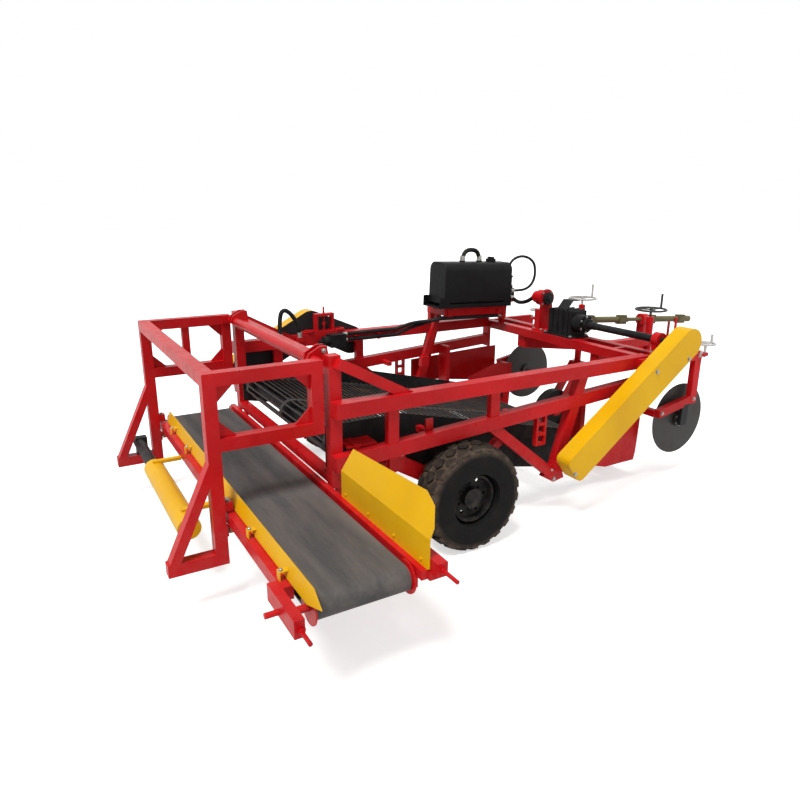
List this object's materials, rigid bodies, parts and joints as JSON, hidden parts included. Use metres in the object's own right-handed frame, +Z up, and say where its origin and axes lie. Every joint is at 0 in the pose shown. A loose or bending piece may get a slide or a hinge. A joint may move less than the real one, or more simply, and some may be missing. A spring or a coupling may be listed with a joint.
{
  "type": "onion harvester",
  "caption": "Towed onion harvester: red tube frame on wheels, digging share and coulters, sloping rod web and a cross conveyor that shifts sideways to lay a swath.",
  "frame": {"origin": "middle of the machine's box on the ground, conveyor out to the right", "axes": "+X forward along the travel, +Y to the left, +Z up"},
  "size_m": [6.089, 3.75, 1.9909],
  "materials": {
    "red_paint": "satin",
    "yellow_paint": "satin",
    "black_paint": "satin",
    "worn_steel": "worn",
    "black_rubber": "matte",
    "tyre_rubber": "matte",
    "tank_plastic": "matte"
  },
  "bodies": {
    "chassis": {"frame_near": "red_paint", "frame_far": "red_paint", "rear_cross_beam": "red_paint", "front_ladder_beam": "red_paint", "drawbar": "red_paint", "wheel_arm_near": "red_paint", "wheel_arm_far": "red_paint", "web_panel_near": "black_paint", "web_panel_far": "black_paint", "web_loop": "worn_steel", "web_rollers": "black_paint", "share": "red_paint", "far_side_sheet": "red_paint", "chain_guard_near": "yellow_paint", "chain_guard_far": "yellow_paint", "gearbox": "black_paint", "shaft_bearing": "red_paint", "pump_pedestal": "red_paint", "oil_tank": "tank_plastic", "tank_stand": "red_paint", "valve_block": "black_paint", "hoses": "black_rubber", "hose_loop": "black_rubber", "hydraulic_motor": "black_paint", "bearing_block": "red_paint", "disc_arm_near": "red_paint", "disc_arm_far": "red_paint", "gauge_fork_near": "red_paint", "gauge_fork_far": "red_paint", "gantry_near": "red_paint", "gantry_far": "red_paint", "gantry_cross_tubes": "red_paint", "shift_barrel": "black_paint"},
    "wheel_right": {"tyre_near": "tyre_rubber", "rim_near": "worn_steel"},
    "wheel_left": {"tyre_far": "tyre_rubber", "rim_far": "worn_steel"},
    "disc_right": {"disc_near": "worn_steel"},
    "disc_left": {"disc_far": "worn_steel"},
    "gauge_right": {"gauge_wheel_near": "black_rubber"},
    "gauge_left": {"gauge_wheel_far": "black_rubber"},
    "cross_shaft": {"cross_shaft": "black_paint"},
    "pto_shaft": {"pto_shaft": "worn_steel"},
    "conveyor": {"conveyor_frame": "red_paint", "belt": "black_rubber", "belt_drums": "worn_steel", "skirt": "yellow_paint", "deflector": "yellow_paint", "shift_cover": "yellow_paint"}
  },
  "joints": [
    {"name": "wheel_right_spin", "type": "hinge", "parent": "chassis", "child": "wheel_right", "pos_m": [-0.9735, -0.595, 0.4], "axis": [0, 1, 0], "continuous": true},
    {"name": "wheel_left_spin", "type": "hinge", "parent": "chassis", "child": "wheel_left", "pos_m": [-0.9735, 1.745, 0.4], "axis": [0, 1, 0], "continuous": true},
    {"name": "disc_right_spin", "type": "hinge", "parent": "chassis", "child": "disc_right", "pos_m": [1.4545, -0.465, 0.555], "axis": [0, 1, 0], "continuous": true},
    {"name": "disc_left_spin", "type": "hinge", "parent": "chassis", "child": "disc_left", "pos_m": [1.4545, 1.615, 0.555], "axis": [0, 1, 0], "continuous": true},
    {"name": "gauge_right_spin", "type": "hinge", "parent": "chassis", "child": "gauge_right", "pos_m": [1.3545, 0.125, 0.237], "axis": [0, 1, 0], "continuous": true},
    {"name": "gauge_left_spin", "type": "hinge", "parent": "chassis", "child": "gauge_left", "pos_m": [1.3545, 1.025, 0.237], "axis": [0, 1, 0], "continuous": true},
    {"name": "cross_shaft_spin", "type": "hinge", "parent": "chassis", "child": "cross_shaft", "pos_m": [1.0145, -0.125, 1.33], "axis": [0, 1, 0], "continuous": true},
    {"name": "pto_shaft_spin", "type": "hinge", "parent": "chassis", "child": "pto_shaft", "pos_m": [1.2265, 0.575, 1.318], "axis": [0.9974, 0, -0.0722], "continuous": true},
    {"name": "conveyor_shift", "type": "slide", "parent": "chassis", "child": "conveyor", "axis": [0, 1, 0], "range_m": [0, 0.18]}
  ]
}
